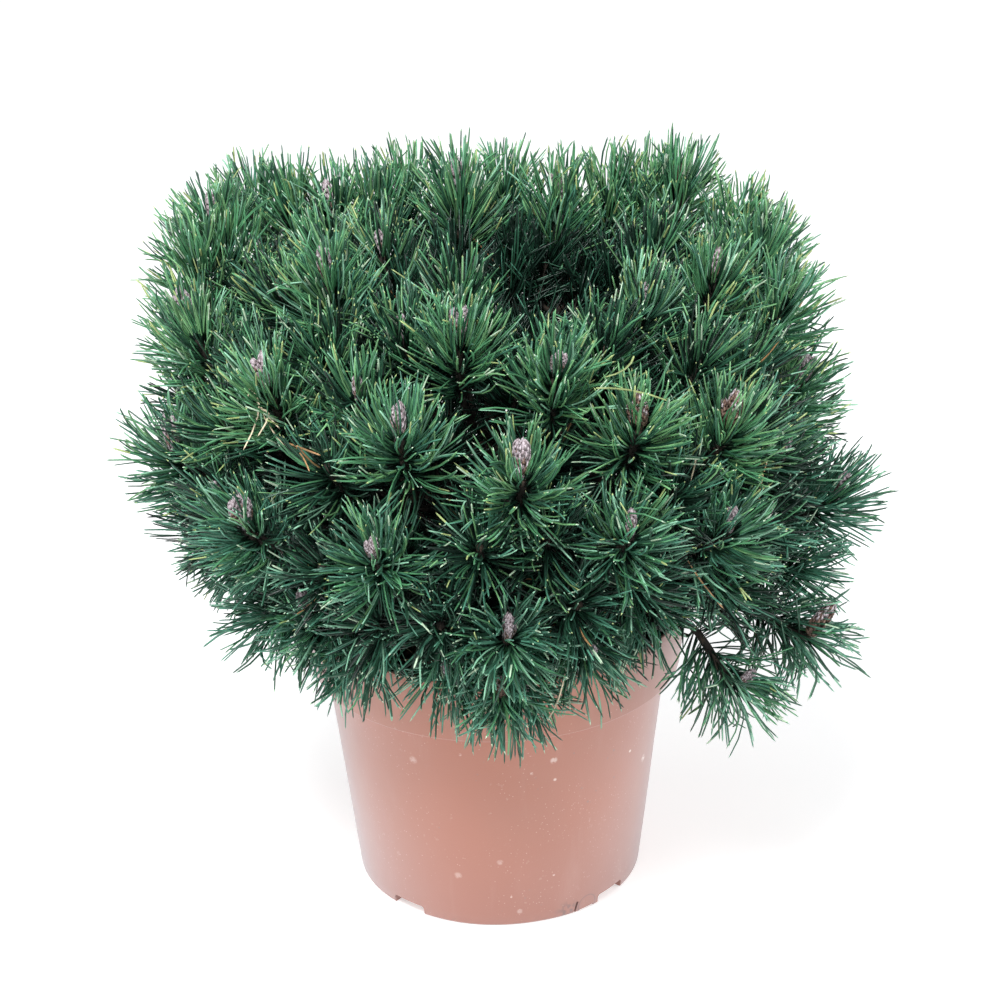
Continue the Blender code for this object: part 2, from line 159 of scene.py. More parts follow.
# Gaps that show through the crown: their ends, and the radius that is kept free round the line between.
# The first is a dark hollow at the top, and the others show daylight or the pot at the foot.
OPENINGS = (
    ((0.044, -0.042, 0.458), (0.046, 0.022, 0.425), 0.038),
    ((0.122, -0.216, 0.275), (0.142, 0.020, 0.150), 0.009),
    ((0.137, -0.211, 0.275), (0.156, 0.020, 0.150), 0.009),
    ((0.107, -0.195, 0.260), (0.119, -0.010, 0.165), 0.006),
    ((-0.054, -0.183, 0.260), (-0.058, -0.052, 0.190), 0.007),
)
OPENING_EDGE = 0.012  # how much further from an opening the foot of a bud stays
LIFT = (-25.0, 80.0)  # slopes of the lowest and highest shoots
LIFT_POWER = 0.5
LOW_HEIGHT = 0.215
TOP_HEIGHT = 0.465
SHOOT_LENGTH = 0.062
SHOOT_RADII = (0.0024, 0.0028, 0.0030, 0.0034)
LESSER_GIRTH = 0.75  # of a lesser shoot
CORE_STEPS = 7
SMALL_BUDS = 0.35  # share of the lesser shoots that end in a small bud
BUD_MIDDLE = 0.009
BUD_FOOT = 0.013
BUD_UPTURN = 1.5  # how much more steeply than its shoot a bud stands
SHOOT_UPTURN = 0.45

# Kinds of shoot: the depth it lies at, its length and droop, its needle pairs, the length of a needle and its
# rings, and, for buds spread over a dome, the dome's size and how far apart they are
Kind = namedtuple("Kind", "name length droop pairs needle rings dome spacing", defaults=(None, None))
FULL_RINGS = (0.0, 0.24, 0.52, 0.78, 0.96)
PLAIN_RINGS = (0.0, 0.45, 0.93)
OUTER = Kind("outside", SHOOT_LENGTH, 0.0, 112, 0.049, FULL_RINGS)
RIM = Kind("outside", 0.054, 22.0, 84, 0.048, FULL_RINGS)
BETWEEN = Kind("between", 0.054, 0.0, 72, 0.047, FULL_RINGS, 0.95, 0.045)
FILLING = Kind("outside", 0.058, 0.0, 84, 0.047, FULL_RINGS)
MIDDLE = Kind("inside", 0.050, 0.0, 58, 0.045, PLAIN_RINGS, 0.80, 0.050)
INNER = Kind("inside", 0.045, 0.0, 42, 0.043, PLAIN_RINGS, 0.58, 0.055)
LINING = Kind("inside", 0.048, 0.0, 64, 0.044, PLAIN_RINGS)

# Shoots that hang over the pot's rim: bearing, height and reach
RIM_BUDS = (
    (-11, 0.236, 0.166), (6, 0.221, 0.168), (21, 0.245, 0.170),
    (-33, 0.236, 0.172), (38, 0.262, 0.176), (-56, 0.248, 0.184),
    (-24, 0.246, 0.178), (-150, 0.240, 0.180), (120, 0.242, 0.182),
    (-95, 0.244, 0.186), (170, 0.236, 0.176),
)

# Lesser shoots that close the crown's top edge: bearing, height and reach
FILLING_BUDS = (
    (-128, 0.452, 0.203), (-129, 0.456, 0.172), (-144, 0.457, 0.129),
    (-157, 0.458, 0.141), (174, 0.458, 0.127), (143, 0.458, 0.140),
    (137, 0.459, 0.158), (111, 0.452, 0.176), (98, 0.448, 0.180),
    (83, 0.432, 0.191), (-102, 0.446, 0.198), (-75, 0.425, 0.192),
    (72, 0.262, 0.216), (100, 0.262, 0.212),
)

# Shaded shoots that line the hollow at the crown's top: bearing, height and reach
LINING_BUDS = (
    (154, 0.425, 0.090), (140, 0.405, 0.098), (170, 0.412, 0.080),
    (126, 0.420, 0.116), (95, 0.375, 0.052), (150, 0.385, 0.060),
    (60, 0.372, 0.058), (170, 0.380, 0.030),
)

# Needles
NEEDLE_WIDTH = 0.00130
NEEDLE_THICKNESS = 0.00094
DEAD_WIDTH = 0.0013
FALLEN_WIDTH = 0.0014
ROOT_REACH = 0.0022  # of a needle's root, from the middle of its shoot
CHECKED_PARTS = (0.4, 0.7, 1.0)  # shares of a needle that keep out of the pot and the openings
NEEDLE_APART = 0.001  # how far they keep from the pot
NEEDLE_SPAN = (0.06, 0.97)  # shares of a shoot's core between which its needles stand
NEEDLE_TILT = (80.0, 26.0)  # from the shoot, at its foot and below its bud
TILT_LESS_ABOVE = (12.0, 10.0)  # at the crown's top
UPWARD_BEND = (0.28, 0.05)  # towards the shoot's direction, above the crown's foot and at it
PAIR_SPREAD = 0.10
CURLED = (0.05, 0.16)  # share of the pairs that curl, at the crown's top and foot
NEEDLE_WIDTHS = {0.0: 0.66, 0.24: 0.95, 0.45: 1.0, 0.52: 1.0, 0.78: 1.0, 0.93: 0.82, 0.96: 0.80}

# Tones, from the crown's foot to its top, in linear colour
TONES = {
    "shadow": (0.007, 0.024, 0.016),
    "deep": (0.026, 0.096, 0.056),
    "blue": (0.070, 0.220, 0.148),
    "green": (0.080, 0.250, 0.118),
    "fresh": (0.155, 0.345, 0.150),
    "mint": (0.215, 0.440, 0.300),
    "yellow": (0.345, 0.430, 0.170),
    "pale": (0.420, 0.560, 0.400),
    "tan": (0.430, 0.240, 0.110),
    "straw": (0.640, 0.540, 0.380),
}
TONE = {name: index for index, name in enumerate(TONES)}

# Camera, fitted to the pot's rim, collar and foot
AIM = Vector((0.0, 0.0, 0.25))
CAMERA_DISTANCE = 2.0
CAMERA_ELEVATION = 26.0
CAMERA_ROLL = -1.14
CAMERA_LENS = 107.4
CAMERA_SHIFT = (0.0063, 0.0304)


# Shaping tools


def pick(piece):
    for item in bpy.context.view_layer.objects:
        item.select_set(item == piece)
    bpy.context.view_layer.objects.active = piece


def mode(name):
    bpy.ops.object.mode_set(mode=name)


def direction(bearing, slope=0.0):
    turn = math.radians(bearing)
    rise = math.radians(slope)
    return Vector((math.sin(turn) * math.cos(rise), -math.cos(turn) * math.cos(rise), math.sin(rise)))


def sideways(point):
    return Vector((point.x, point.y, 0.0))


def placed(bearing, height, reach):
    """The point at a bearing, height and reach from the pot's axis."""
    return direction(bearing) * reach + UP * height


def between(ends, share):
    """The value at a share of the way between two ends."""
    return ends[0] + (ends[1] - ends[0]) * share


def ramp(value, low=0.0, high=1.0):
    return min(max((value - low) / (high - low), 0.0), 1.0)


def unit(rows):
    return rows / np.linalg.norm(rows, axis=-1, keepdims=True)


def arc(centre, radius, first, last, steps):
    """Points of a round stretch of an outline, in radius and height, between two angles in degrees."""
    angles = np.radians(np.linspace(first, last, steps + 1))
    return [(centre[0] + radius * math.cos(a), centre[1] + radius * math.sin(a)) for a in angles]


def run(start, end, spacing):
    """Points of a straight stretch of an outline, without its start."""
    steps = round(math.dist(start, end) / spacing)
    return [tuple(point) for point in np.linspace(start, end, steps + 1)[1:]]


def turn_up(name, outline, sides):
    """A closed round piece: a disc extruded and resized from point to point of an outline."""
    radius, height = outline[0]
    bpy.ops.mesh.primitive_circle_add(
        vertices=sides, radius=radius, fill_type="NGON", location=(0, 0, height))
    piece = bpy.context.object
    piece.name = name
    bpy.ops.object.transform_apply()
    mode("EDIT")
    bpy.ops.mesh.select_all(action="SELECT")
    for (radius, height), (wider, higher) in zip(outline, outline[1:]):
        bpy.ops.mesh.extrude_region_move(TRANSFORM_OT_translate={"value": (0, 0, higher - height)})
        bpy.ops.transform.resize(value=(wider / radius, wider / radius, 1), center_override=(0, 0, higher))
    bpy.ops.mesh.select_all(action="SELECT")
    bpy.ops.mesh.normals_make_consistent()
    mode("OBJECT")
    return piece


def cut(piece, centre, size, bearing, lean=0.0, bevel=0.0):
    """Take a block out of a piece. The block's width runs round the piece and its depth runs outwards."""
    bpy.ops.mesh.primitive_cube_add(size=1.0, location=centre)
    block = bpy.context.object
    block.scale = size
    block.rotation_euler = (0.0, math.radians(lean), math.radians(bearing))
    bpy.ops.object.transform_apply(location=False, rotation=False, scale=True)
    if bevel:
        mode("EDIT")
        bpy.ops.mesh.select_all(action="SELECT")
        bpy.ops.mesh.bevel(offset=bevel, segments=3)
        mode("OBJECT")
    taking = piece.modifiers.new("cut", "BOOLEAN")
    taking.operation = "DIFFERENCE"
    taking.object = block
    pick(piece)
    bpy.ops.object.modifier_apply(modifier="cut")
    bpy.data.objects.remove(block)


def smooth(piece, angle=35.0):
    pick(piece)
    bpy.ops.object.shade_smooth_by_angle(angle=math.radians(angle))


def move_points(piece, moved):
    """Replace the places of a piece's points by those that a function of them gives."""
    for vert in piece.data.vertices:
        vert.co = moved(vert.co.copy())
    piece.data.update()


def declare(piece, surface, slot, *nodes):
    """Give a piece its material and its body, and hide the solids that it stands for. Its slot is not used.
    """
    for item in surface if isinstance(surface, list) else [surface]:
        piece.data.materials.append(item)
    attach(piece, "root")
    if nodes:
        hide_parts(*nodes)
    return piece


def added(name, data):
    made = bpy.data.objects.new(name, data)
    bpy.context.scene.collection.objects.link(made)
    return made


class Joined:
    """Many small shapes gathered into one mesh."""

    def __init__(self):
        self.points, self.faces, self.surfaces = [], [], []
        self.size = 0

    def add(self, points, faces, surfaces):
        """Points as rows, and faces as arrays of rows of corners, each with its surface or surfaces."""
        for corners, surface in zip(faces, surfaces):
            corners = np.asarray(corners)
            self.faces.append(corners + self.size)
            self.surfaces.append(np.broadcast_to(surface, len(corners)))
        self.points.append(points)
        self.size += len(points)

    def piece(self, name):
        mesh = bpy.data.meshes.new(name)
        points = np.concatenate(self.points).astype(np.float32)
        corners = np.concatenate([faces.ravel() for faces in self.faces]).astype(np.int32)
        counts = np.concatenate([np.full(len(faces), faces.shape[1]) for faces in self.faces])
        starts = np.concatenate([[0], np.cumsum(counts)[:-1]]).astype(np.int32)
        mesh.vertices.add(len(points))
        mesh.vertices.foreach_set("co", points.ravel())
        mesh.loops.add(len(corners))
        mesh.loops.foreach_set("vertex_index", corners)
        mesh.polygons.add(len(counts))
        mesh.polygons.foreach_set("loop_start", starts)
        mesh.polygons.foreach_set("material_index", np.concatenate(self.surfaces).astype(np.int32))
        mesh.update(calc_edges=True)
        mesh.shade_smooth()
        return added(name, mesh)


# Materials


class Value:
    """A socket of a material's nodes, so that shader maths is written as expressions."""

    def __init__(self, surface, socket):
        self.surface = surface
        self.socket = socket

    def maths(self, operation, first, second):
        return self.surface.node("Math", {"operation": operation}, first, second)

    def __add__(self, other):
        return self.maths("ADD", self, other)

    __radd__ = __add__

    def __sub__(self, other):
        return self.maths("SUBTRACT", self, other)

    def __mul__(self, other):
        return self.maths("MULTIPLY", self, other)

    def rise(self, low, high):
        """From 0 at the low value to 1 at the high one."""
        return self.surface.node("MapRange", {"interpolation_type": "SMOOTHSTEP"}, self, low, high)


class Surface:
    """A material whose constant values sit on its shader, and whose patterns read object coordinates."""

    def __init__(self, name, colour, roughness, **constants):
        self.material = bpy.data.materials.new(name)
        self.material.use_nodes = True
        self.tree = self.material.node_tree
        self.shader = self.tree.nodes["Principled BSDF"]
        self.feed("Base Color", (*colour, 1.0))
        self.feed("Roughness", roughness)
        for label, value in constants.items():
            self.feed(label.replace("_", " "), value)
        self.place = self.node("TexCoord", {}, output="Object")

    def feed(self, label, value):
        self.link(value, self.shader.inputs[label])

    def link(self, value, socket):
        if isinstance(value, Value):
            self.tree.links.new(value.socket, socket)
        else:
            socket.default_value = value

    def node(self, kind, settings, *values, output=0, **named):
        """Add a node, apply its settings, feed its sockets in order or by name, and return an output."""
        made = self.tree.nodes.new(f"ShaderNode{kind}")
        for label, value in settings.items():
            setattr(made, label, value)
        for index, value in enumerate(values):
            self.link(value, made.inputs[index])
        for label, value in named.items():
            self.link(value, made.inputs[label.replace("_", " ")])
        return Value(self, made.outputs[output])

    def noise(self, scale, detail=3.0, roughness=0.5, place=None):
        place = place or self.place
        return self.node("TexNoise", {}, Vector=place, Scale=scale, Detail=detail, Roughness=roughness)

    def stretched(self, scale):
        return self.node("Mapping", {}, Vector=self.place, Scale=scale)

    def cells(self, scale, place=None):
        return self.node("TexVoronoi", {}, Vector=place or self.place, Scale=scale, output="Distance")

    def mix(self, share, first, second):
        made = self.tree.nodes.new("ShaderNodeMix")
        made.data_type = "RGBA"
        for index, value in zip((0, 6, 7), (share, first, second)):  # the sockets of its factor and colours
            self.link((*value, 1.0) if isinstance(value, tuple) else value, made.inputs[index])
        return Value(self, made.outputs[2])

    def bump(self, height, strength, distance):
        made = self.node("Bump", {}, Strength=strength, Distance=distance, Height=height)
        self.feed("Normal", made)


# Marks on the pot's wall: bearing, height, radius and, for the pale ones, strength
PALE_MARKS = (
    (-29.7, 0.131, 0.0036, 0.30), (-12.6, 0.142, 0.0015, 0.35), (11.2, 0.126, 0.0015, 0.60),
    (18.7, 0.134, 0.0032, 0.50), (19.4, 0.118, 0.0015, 0.60), (52.3, 0.117, 0.0015, 0.85),
    (63.6, 0.100, 0.0034, 0.85), (-16.1, 0.041, 0.0034, 0.26), (-0.1, 0.054, 0.0028, 0.26),
    (7.3, 0.011, 0.0026, 0.30), (4.0, 0.024, 0.0011, 0.60), (20.5, 0.038, 0.0011, 0.60),
)
DARK_MARKS = (
    (30.0, 0.105, 0.0010), (33.0, 0.092, 0.0012), (44.5, 0.103, 0.0010),
    (43.1, 0.126, 0.0012), (26.0, 0.136, 0.0009),
)
SCRATCH = (36.5, 0.004, 0.0072, 0.0008)  # an arc over the flake beside the crack, and its width
DIRT = (27.6, 0.003, 0.002, 0.012)  # bearing, height, and where it starts and ends to fade


def terracotta_plastic():
    sheen = {"Sheen_Weight": 0.66, "Sheen_Roughness": 0.62, "Sheen_Tint": (0.80, 0.92, 1.0, 1.0)}
    made = Surface("terracotta_plastic", (0.32, 0.15, 0.10), 0.42, **sheen)

    def near_wall(bearing, height, inner, outer):
        """1 within a distance of a point of the outer wall, falling to 0 at the outer distance."""
        point = placed(bearing, height, between((FOOT_RADIUS, WALL_TOP_RADIUS), height / COLLAR_BOTTOM))
        apart = made.node("VectorMath", {"operation": "DISTANCE"}, made.place, tuple(point), output="Value")
        return apart.rise(outer, inner)

    clay = made.mix(made.noise(9.0).rise(0.35, 0.7), (0.350, 0.099, 0.041), (0.340, 0.105, 0.050))
    shaded = made.node("SeparateXYZ", {}, made.place, output=2).rise(0.09, 0.0)
    drawn = made.noise(1.0, 4.0, place=made.stretched((70.0, 70.0, 9.0)))
    dust = made.noise(240.0, 2.0).rise(0.66, 0.76) * made.noise(16.0).rise(0.4, 0.65)
    specks = made.cells(130.0).rise(0.12, 0.05) * made.noise(30.0).rise(0.54, 0.60)
    pale = sum(near_wall(*at, radius * 0.4, radius) * strength for *at, radius, strength in PALE_MARKS)
    dark = sum(near_wall(*at, radius * 0.5, radius) for *at, radius in DARK_MARKS)
    grit = made.cells(330.0).rise(0.16, 0.07) * made.noise(24.0).rise(0.45, 0.58)
    *at, radius, width = SCRATCH
    scratch = near_wall(*at, radius, radius + width) - near_wall(*at, radius - width, radius)
    dirt = near_wall(*DIRT) * made.noise(300.0).rise(0.42, 0.58)
    layers = (
        (shaded * 0.55, (0.290, 0.084, 0.042)),
        (drawn.rise(0.55, 0.85) * 0.35, (0.40, 0.20, 0.15)),
        (dust * 0.35, (0.50, 0.33, 0.27)),
        (specks * 0.8, (0.25, 0.12, 0.09)),
        (pale * made.noise(500.0).rise(0.30, 0.55), (0.80, 0.66, 0.60)),
        (dark * 0.7, (0.22, 0.11, 0.09)),
        (grit * 0.45, (0.70, 0.52, 0.46)),
        (scratch * 0.80, (0.170, 0.048, 0.030)),
        (dirt * 0.85, (0.150, 0.052, 0.030)),
    )
    for share, colour in layers:
        clay = made.mix(share, clay, colour)
    made.feed("Base Color", clay)
    made.feed("Roughness", made.noise(60.0) * 0.14 + 0.40)
    made.bump(made.noise(900.0, 2.0) + drawn * 0.6, 0.08, 0.0006)
    return made.material


def compost():
    made = Surface("bark_compost", (0.05, 0.028, 0.018), 0.95)
    grain = made.noise(210.0, 5.0, 0.65)
    soil = made.mix(grain.rise(0.35, 0.7), (0.018, 0.010, 0.007), (0.120, 0.062, 0.036))
    made.feed("Base Color", soil)
    made.bump(grain, 0.7, 0.002)
    return made.material


def pine_bark(name, dark, light):
    made = Surface(name, light, 0.85)
    plates = made.cells(170.0, made.stretched((1.0, 1.0, 0.55)))
    grain = made.noise(420.0, 4.0, 0.6)
    lit = plates.rise(0.15, 0.55) * 0.7 + grain * 0.5
    made.feed("Base Color", made.mix(lit.rise(0.3, 0.9), light, dark))
    made.bump(plates * -1.0 + grain * 0.6, 0.5, 0.0012)
    return made.material


def speckled(name, dark, light, scale, detail, span, roughness, **constants):
    """A finish that varies between two tones."""
    made = Surface(name, light, roughness, **constants)
    made.feed("Base Color", made.mix(made.noise(scale, detail).rise(*span), dark, light))
    return made.material


def needle_surface(name, colour):
    dark = tuple(value * 0.66 for value in colour)
    light = tuple(value * 1.28 for value in colour)
    return speckled(name, dark, light, 70.0, 3.0, (0.36, 0.64), 0.38, Specular_IOR_Level=0.55)


def scale_surface(name, dark, light):
    return speckled(name, dark, light, 700.0, 2.0, (0.38, 0.62), 0.6)


# The pot and its compost


def pot():
    heel = FOOT_RADIUS - HEEL_WIDTH
    ledge = COLLAR_BOTTOM + LEDGE_RISE
    foot = (FOOT_RADIUS, FOOT_ROUND)
    collar = (COLLAR_RADIUS, COLLAR_BOTTOM + COLLAR_ROUND)
    outer = [
        (PAD_RADIUS, 0.0),
        (PAD_RADIUS + FOOT_ROUND, FLOOR_UNDERSIDE),
        (heel - FOOT_ROUND, FLOOR_UNDERSIDE),
        (heel, 0.0),
        *arc((FOOT_RADIUS - FOOT_ROUND, FOOT_ROUND), FOOT_ROUND, -90.0, 0.0, 3),
        *run(foot, (WALL_TOP_RADIUS, ledge), WALL_RING_SPACING),
        (COLLAR_RADIUS - COLLAR_ROUND, COLLAR_BOTTOM),
        *arc((COLLAR_RADIUS - COLLAR_ROUND, collar[1]), COLLAR_ROUND, -70.0, 0.0, 4),
        *run(collar, (RIM_RADIUS, POT_HEIGHT - WALL / 2), WALL_RING_SPACING),
        *arc((RIM_RADIUS - WALL / 2, POT_HEIGHT - WALL / 2), WALL / 2, 30.0, 180.0, 5),
        (COLLAR_RADIUS - WALL, ledge + WALL),
        (WALL_TOP_RADIUS - WALL, ledge),
        (FOOT_RADIUS - WALL, FLOOR_TOP),
    ]
    piece = turn_up("nursery_pot", outer, POT_SIDES)
    for bearing in NOTCH_BEARINGS:
        centre = direction(bearing) * (FOOT_RADIUS - HEEL_WIDTH / 2)
        cut(piece, centre, NOTCH_SIZE, bearing, bevel=0.002)
    crack = direction(CRACK_BEARING) * FOOT_RADIUS
    cut(piece, crack, CRACK_SIZE, CRACK_BEARING, lean=CRACK_LEAN)
    cut(piece, direction(CHIP_BEARING) * FOOT_RADIUS, CHIP_SIZE, CHIP_BEARING, lean=-3.0)

    def uneven(point):
        wave = noise.noise(Vector((point.x, point.y, point.z * 0.7)) * 22.0)
        return point + sideways(point).normalized() * wave * WALL_WAVE

    move_points(piece, uneven)
    smooth(piece)
    return declare(piece, terracotta_plastic(), "terracotta_plastic", "pot")


def root_ball():
    low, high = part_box("root_ball")
    inset = WALL + 2 * GAP
    ledge = COLLAR_BOTTOM + LEDGE_RISE
    edge = (high.y, SOIL_LEVEL - SOIL_EDGE_DROP)
    outline = [
        (FOOT_RADIUS - inset, low.z),
        (WALL_TOP_RADIUS - inset, ledge + 2 * GAP),
        (COLLAR_RADIUS - inset, ledge + inset),
        edge,
        *run(edge, (0.002, SOIL_LEVEL), SOIL_RING_SPACING),
    ]
    piece = turn_up("compost", outline, POT_SIDES)

    def lumpy(point):
        if point.z < edge[1] - GAP:
            return point
        reach = math.hypot(point.x, point.y)
        fade = min(1.0, (edge[0] - reach) / 0.01 + 0.1)
        lump = noise.fractal(sideways(point) * 90.0, 0.7, 2.0, 4)
        return point + UP * SOIL_LUMP * lump * fade

    move_points(piece, lumpy)
    smooth(piece, 60.0)
    return declare(piece, compost(), "bark_compost", "root_ball")


# Trunk, boughs and twigs


def bent(start, leaving, end, arriving, steps):
    """Points along a cubic curve that leaves its start and reaches its end in these directions."""
    handle = (end - start).length / 3
    first = start + leaving * handle
    second = end - arriving * handle
    points = []
    for step in range(steps + 1):
        t = step / steps
        s = 1.0 - t
        points.append(start * s**3 + first * 3 * s * s * t + second * 3 * s * t * t + end * t**3)
    return points


def tube(joined, path, radii, sides, relief=0.0, surface=0):
    """Add a closed tube along a path, with a rough skin where it has relief."""
    path = [Vector(point) for point in path]
    tangents = [(after - before).normalized() for before, after in zip(path, path[1:])]
    tangents.append(tangents[-1])
    side = tangents[0].orthogonal().normalized()
    points = []
    for index, (centre, radius) in enumerate(zip(path, radii)):
        tangent = (tangents[index] + tangents[max(index - 1, 0)]).normalized()
        side = (side - tangent * side.dot(tangent)).normalized()
        other = tangent.cross(side)
        for step in range(sides):
            angle = 2 * math.pi * step / sides
            outward = side * math.cos(angle) + other * math.sin(angle)
            point = centre + outward * radius
            if relief:
                rough = noise.noise(point * 260.0) + 0.5 * noise.noise(point * 620.0)
                point += outward * relief * rough
            points.append(point)
    rings = len(path)
    row = np.arange(sides)
    after = (row + 1) % sides
    quad = np.stack([row, after, sides + after, sides + row], 1)
    quads = [quad + ring * sides for ring in range(rings - 1)]
    last = (rings - 1) * sides
    joined.add(np.array(points), [np.concatenate(quads), row[::-1][None], (last + row)[None]], [surface] * 3)


def resampled(path, radii, spacing):
    """A path and its radii with smooth points at a closer spacing."""
    places = np.array(path)
    lengths = np.linalg.norm(np.diff(places, axis=0), axis=1)
    along = np.concatenate([[0.0], np.cumsum(lengths)])
    wanted = np.linspace(0.0, along[-1], round(along[-1] / spacing) + 1)
    fine = np.stack([np.interp(wanted, along, places[:, axis]) for axis in range(3)], 1)
    return [Vector(point) for point in fine], np.interp(wanted, along, radii)


def trunk_centre(height):
    share = (height - TRUNK_FOOT) / TRUNK_LENGTH
    return Vector((TRUNK_LEAN[0] * share, TRUNK_LEAN[1] * share, height))


def trunk_girth(share):
    """Mean radius of the trunk and the depth of its root lobes, at a share of its height."""
    near_foot = np.exp(-share * TRUNK_LENGTH / TRUNK_FLARE_HEIGHT)
    return between(TRUNK_RADII, share) + TRUNK_FLARE * near_foot, ROOT_LOBE_DEPTH * near_foot**2


def trunk_radius(height):
    """The solid trunk's widest radius at a height."""
    girth, lobes = trunk_girth(TRUNK_RINGS)
    return np.interp(height, TRUNK_HEIGHTS, girth * (1.0 + lobes))


def trunk(surface):
    """The trunk, a cylinder cut into rings and moved out to its flare, root lobes and bark plates."""
    bpy.ops.mesh.primitive_cylinder_add(vertices=TRUNK_FINE_SIDES, radius=1.0, depth=1.0)
    piece = bpy.context.object
    piece.name = "trunk_bark"
    mode("EDIT")
    for index in range(1, TRUNK_FINE_RINGS):
        bpy.ops.mesh.select_all(action="SELECT")
        height = (index / TRUNK_FINE_RINGS) ** 1.3 - 0.5
        bpy.ops.mesh.bisect(plane_co=(0, 0, height), plane_no=(0, 0, 1))
    mode("OBJECT")

    def barked(point):
        share = ramp(point.z + 0.5)
        outward = sideways(point)
        girth, lobes = trunk_girth(share)
        angle = math.atan2(point.y, point.x)
        height = TRUNK_FOOT + TRUNK_LENGTH * share
        radius = girth * (1.0 + lobes * math.cos(ROOT_LOBES * angle))
        skin = Vector((math.cos(angle) * 1.6, math.sin(angle) * 1.6, height * 75.0))
        plates = noise.voronoi(skin * 1.7)[0][0] + 0.4 * noise.noise(skin * 6.0)
        radius += BARK_DEPTH * (0.3 - plates) * min(share * 20.0, 1.0)
        return trunk_centre(height) + outward * radius

    move_points(piece, barked)
    smooth(piece, 60.0)
    return declare(piece, surface, "pine_bark", "trunk")


def lift(height):
    """Slope of a shoot whose bud is at this height, in degrees."""
    return between(LIFT, ramp(height, LOW_HEIGHT, TOP_HEIGHT) ** LIFT_POWER)


def shoot_at(bearing, height, reach, length=SHOOT_LENGTH, droop=0.0):
    """A shoot's base, bud tip and direction, from the place of its bud's middle."""
    along = direction(bearing, lift(height) - droop)
    bud = placed(bearing, height, reach) + along * BUD_MIDDLE
    return bud - along * length, bud, along


def distance(points, start, along):
    """Distances of points from straight lines, each given by its start and its full run."""
    offset = points - start
    share = np.clip((offset * along).sum(-1) / (along**2).sum(-1), 0.0, 1.0)
    return np.linalg.norm(offset - share[..., None] * along, axis=-1)


def in_opening(points, more=0.0):
    """True for each point that lies in a gap that shows through the crown."""
    points = np.asarray(points)
    inside = np.zeros(points.shape[:-1], dtype=bool)
    for start, end, radius in OPENINGS:
        inside |= distance(points, np.array(start), np.subtract(end, start)) < radius + more
    return inside


def in_pot(points, apart):
    """True for each point that is in or over the pot, below its rim."""
    points = np.asarray(points)
    reach = np.linalg.norm(points[..., :2], axis=-1)
    return (points[..., 2] < POT_HEIGHT + apart) & (reach < RIM_RADIUS + apart)


def bough_path(start_height, leaders):
    """From the trunk's surface out to the fork, with the direction that it ends in."""
    bases = [shoot_at(*leader)[0] for leader in leaders]
    middle = sum(bases, Vector()) / len(bases)
    centre = trunk_centre(start_height)
    outward = sideways(middle - centre).normalized()
    start = centre + outward * (trunk_radius(start_height - BOUGH_RADIUS) + GAP)
    tip = start.lerp(middle, FORK_SHARE)
    ending = ((middle - start).normalized() + UP * BOUGH_UPTURN).normalized()
    first = start + outward * TIP_LENGTH
    last = tip - ending * TIP_LENGTH
    return [start, *bent(first, outward, last, ending, 8), tip], ending


def stem_path(tip, ending, aside, leader):
    """From just off a bough's tip to the foot of the leading shoot."""
    base, _, along = shoot_at(*leader)
    start = tip + ending * GAP + aside
    return [start, *bent(start + ending * TIP_LENGTH, ending, base, along, 2)]


def fork(path, ending, leaders):
    first, second = (shoot_at(*leader)[0] for leader in leaders)
    apart = first - second
    aside = (apart - ending * apart.dot(ending)).normalized() * STEM_APART
    return [stem_path(path[-1], ending, aside * side, leader) for side, leader in zip((1, -1), leaders)]


def dome_point(turn, rise, scale=1.0):
    """The point of the dome in this direction from its middle."""
    level = math.cos(rise)
    upward = math.sin(rise)
    half = DOME_ABOVE if upward > 0 else DOME_BELOW
    size = (abs(level / DOME_RADIUS) ** DOME_POWER + abs(upward / half) ** DOME_POWER) ** (-1 / DOME_POWER)
    return math.degrees(turn), DOME_MIDDLE + upward * size * scale, level * size * scale


def side_buds(taken, kind):
    """Spread further buds over a dome, each at least the kind's spacing from those already taken."""
    buds = []
    for index in range(DOME_CANDIDATES):
        rise = math.asin(1.0 - 2.0 * (index + 0.5) / DOME_CANDIDATES)
        place = dome_point(index * math.radians(GOLDEN_TURN), rise, kind.dome)
        bud = shoot_at(*place)[1]
        if place[2] < DOME_HOLLOW * kind.dome or place[1] < LOW_HEIGHT:
            continue
        if min(((bud - other).length for other in taken), default=1.0) < kind.spacing:
            continue
        taken.append(bud)
        buds.append(place)
    return buds


Shoot = namedtuple("Shoot", "mass kind base bud along foot upright")


def shoot_of(mass, kind, base, bud, along):
    """A shoot whose bud stands upright, with the bud's middle where its place says."""
    upright = (along + UP * BUD_UPTURN).normalized()
    return Shoot(mass, kind, base, bud, along, bud - along * BUD_MIDDLE - upright * BUD_FOOT, upright)


def core(shoot, shares):
    """Points of a shoot's core, which curves up to the foot of its bud, and its directions there."""
    base = np.array(shoot.base)
    foot = np.array(shoot.foot)
    handle = np.linalg.norm(foot - base) / 3
    first = base + np.array(shoot.along) * handle
    second = foot - np.array((shoot.along + UP * SHOOT_UPTURN).normalized()) * handle
    t = np.asarray(shares)[:, None]
    s = 1.0 - t
    points = base * s**3 + 3 * first * s**2 * t + 3 * second * s * t**2 + foot * t**3
    return points, unit((first - base) * s**2 + 2 * (second - first) * s * t + (foot - second) * t**2)


